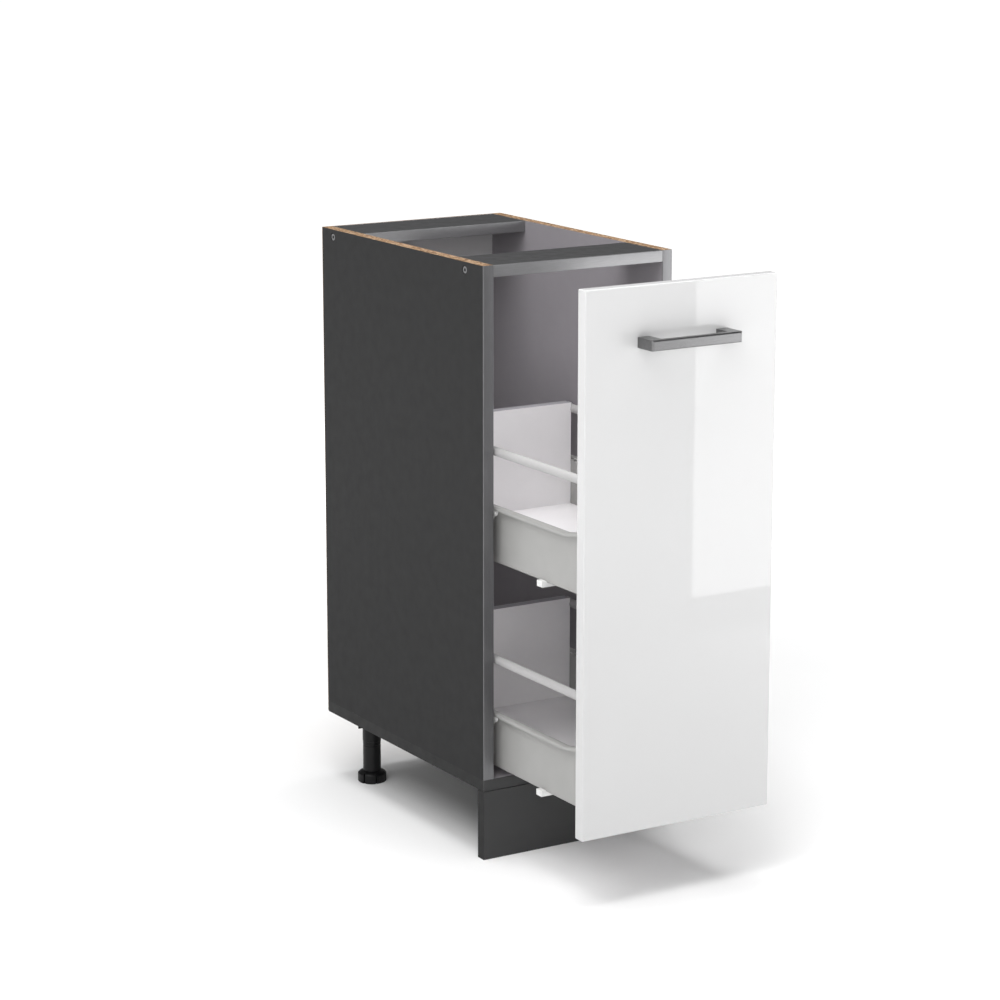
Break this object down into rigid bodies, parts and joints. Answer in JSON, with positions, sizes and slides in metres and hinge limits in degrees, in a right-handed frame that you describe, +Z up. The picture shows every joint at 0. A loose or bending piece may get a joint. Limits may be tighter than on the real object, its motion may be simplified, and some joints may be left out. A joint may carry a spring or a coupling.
{
  "type": "pull-out pantry base cabinet",
  "caption": "Narrow open-topped kitchen base cabinet on levelling legs; one tall gloss front with a bow handle draws out steel-sided trays on roller runners.",
  "frame": {"origin": "on the floor, at the centre of the footprint of the whole unit with its pull-out open 224 mm, as in the picture; the carcass front is at y = -0.086 m and its back at y = 0.364 m", "axes": "+Z up, +X to the right of someone who faces the front, -Y the way the pull-out opens"},
  "size_m": [0.3, 0.728, 0.82],
  "materials": {
    "carcass_board": "anthracite melamine on chipboard, fine matt texture, raw chipboard on the top edges of the sides",
    "back_board": "thin hardboard, smooth light grey decor inside, raw brown outside",
    "edge_band": "satin grey ABS edging with a faint vertical brushing",
    "front_gloss": "white high-gloss lacquer film on board",
    "handle_nickel": "brushed nickel, satin, polished edges",
    "tray_board": "white melamine on chipboard",
    "tray_steel": "pale grey powder coat on steel sheet",
    "railing_steel": "white powder coat on steel rod",
    "runner_steel": "pale grey powder coat on rolled steel",
    "zinc_fasteners": "bright zinc plate",
    "black_plastic": "moulded, fine satin grain",
    "white_plastic": "moulded nylon, semi-gloss",
    "soft_buffer": "clear soft plastic",
    "dowel_beech": "fluted beech"
  },
  "bodies": {
    "cabinet": {"side_panel_left": "carcass_board", "side_panel_right": "carcass_board", "bottom_panel": "carcass_board", "back_panel": "back_board", "front_top_rail": "carcass_board", "rear_top_rail": "carcass_board", "edge_band_left": "edge_band", "edge_band_right": "edge_band", "edge_band_bottom": "edge_band", "edge_band_front_rail": "edge_band", "edge_band_rear_rail": "edge_band", "plinth_panel": "carcass_board", "plinth_clips": "black_plastic", "plinth_clip_screws": "zinc_fasteners", "confirmat_screws": "zinc_fasteners", "carcass_dowels": "dowel_beech", "back_panel_nails": "zinc_fasteners", "leg_sockets": "black_plastic", "leg_socket_screws": "zinc_fasteners", "leg_tubes": "black_plastic", "runner_upper_left": "runner_steel", "runner_upper_right": "runner_steel", "runner_lower_left": "runner_steel", "runner_lower_right": "runner_steel", "runner_screws": "zinc_fasteners", "runner_roller_pins": "zinc_fasteners"},
    "foot_front_left": {"foot_front_left": "black_plastic"},
    "foot_front_right": {"foot_front_right": "black_plastic"},
    "foot_rear_left": {"foot_rear_left": "black_plastic"},
    "foot_rear_right": {"foot_rear_right": "black_plastic"},
    "roller_upper_left": {"roller_upper_left": "white_plastic"},
    "roller_upper_right": {"roller_upper_right": "white_plastic"},
    "roller_lower_left": {"roller_lower_left": "white_plastic"},
    "roller_lower_right": {"roller_lower_right": "white_plastic"},
    "pull_out": {"front_panel": "front_gloss", "handle": "handle_nickel", "handle_screws": "zinc_fasteners", "door_buffers": "soft_buffer", "tray_side_upper_left": "tray_steel", "tray_side_upper_right": "tray_steel", "tray_side_lower_left": "tray_steel", "tray_side_lower_right": "tray_steel", "tray_floor_upper": "tray_board", "tray_floor_lower": "tray_board", "tray_back_upper": "tray_board", "tray_back_lower": "tray_board", "side_railings": "railing_steel", "railing_front_cups": "white_plastic", "railing_rear_brackets": "zinc_fasteners", "railing_screws": "zinc_fasteners", "front_screws": "zinc_fasteners", "floor_clips": "white_plastic", "floor_clip_screws": "zinc_fasteners", "tray_back_screws": "zinc_fasteners", "wheel_pins": "zinc_fasteners"},
    "wheel_upper_left": {"wheel_upper_left": "white_plastic"},
    "wheel_upper_right": {"wheel_upper_right": "white_plastic"},
    "wheel_lower_left": {"wheel_lower_left": "white_plastic"},
    "wheel_lower_right": {"wheel_lower_right": "white_plastic"}
  },
  "joints": [
    {"name": "pull_out_slide", "type": "slide", "parent": "cabinet", "child": "pull_out", "axis": [0, -1, 0], "range_m": [-0.224, 0.116]},
    {"name": "roller_upper_left_spin", "type": "hinge", "parent": "cabinet", "child": "roller_upper_left", "pos_m": [-0.1248, -0.072, 0.4846], "axis": [1, 0, 0], "continuous": true},
    {"name": "roller_upper_right_spin", "type": "hinge", "parent": "cabinet", "child": "roller_upper_right", "pos_m": [0.1248, -0.072, 0.4846], "axis": [1, 0, 0], "continuous": true},
    {"name": "roller_lower_left_spin", "type": "hinge", "parent": "cabinet", "child": "roller_lower_left", "pos_m": [-0.1248, -0.072, 0.1966], "axis": [1, 0, 0], "continuous": true},
    {"name": "roller_lower_right_spin", "type": "hinge", "parent": "cabinet", "child": "roller_lower_right", "pos_m": [0.1248, -0.072, 0.1966], "axis": [1, 0, 0], "continuous": true},
    {"name": "wheel_upper_left_spin", "type": "hinge", "parent": "pull_out", "child": "wheel_upper_left", "pos_m": [-0.1261, 0.123, 0.4856], "axis": [1, 0, 0], "continuous": true},
    {"name": "wheel_upper_right_spin", "type": "hinge", "parent": "pull_out", "child": "wheel_upper_right", "pos_m": [0.1261, 0.123, 0.4856], "axis": [1, 0, 0], "continuous": true},
    {"name": "wheel_lower_left_spin", "type": "hinge", "parent": "pull_out", "child": "wheel_lower_left", "pos_m": [-0.1261, 0.123, 0.1976], "axis": [1, 0, 0], "continuous": true},
    {"name": "wheel_lower_right_spin", "type": "hinge", "parent": "pull_out", "child": "wheel_lower_right", "pos_m": [0.1261, 0.123, 0.1976], "axis": [1, 0, 0], "continuous": true},
    {"name": "foot_front_left_height", "type": "slide", "parent": "cabinet", "child": "foot_front_left", "axis": [0, 0, -1], "range_m": [0, 0.02]},
    {"name": "foot_front_right_height", "type": "slide", "parent": "cabinet", "child": "foot_front_right", "axis": [0, 0, -1], "range_m": [0, 0.02]},
    {"name": "foot_rear_left_height", "type": "slide", "parent": "cabinet", "child": "foot_rear_left", "axis": [0, 0, -1], "range_m": [0, 0.02]},
    {"name": "foot_rear_right_height", "type": "slide", "parent": "cabinet", "child": "foot_rear_right", "axis": [0, 0, -1], "range_m": [0, 0.02]}
  ],
  "couplings": [
    {"joint": "roller_upper_left_spin", "follows": "pull_out_slide", "rad_per_m": 144.93},
    {"joint": "roller_upper_right_spin", "follows": "pull_out_slide", "rad_per_m": 144.93},
    {"joint": "roller_lower_left_spin", "follows": "pull_out_slide", "rad_per_m": 144.93},
    {"joint": "roller_lower_right_spin", "follows": "pull_out_slide", "rad_per_m": 144.93},
    {"joint": "wheel_upper_left_spin", "follows": "pull_out_slide", "rad_per_m": 125},
    {"joint": "wheel_upper_right_spin", "follows": "pull_out_slide", "rad_per_m": 125},
    {"joint": "wheel_lower_left_spin", "follows": "pull_out_slide", "rad_per_m": 125},
    {"joint": "wheel_lower_right_spin", "follows": "pull_out_slide", "rad_per_m": 125}
  ]
}
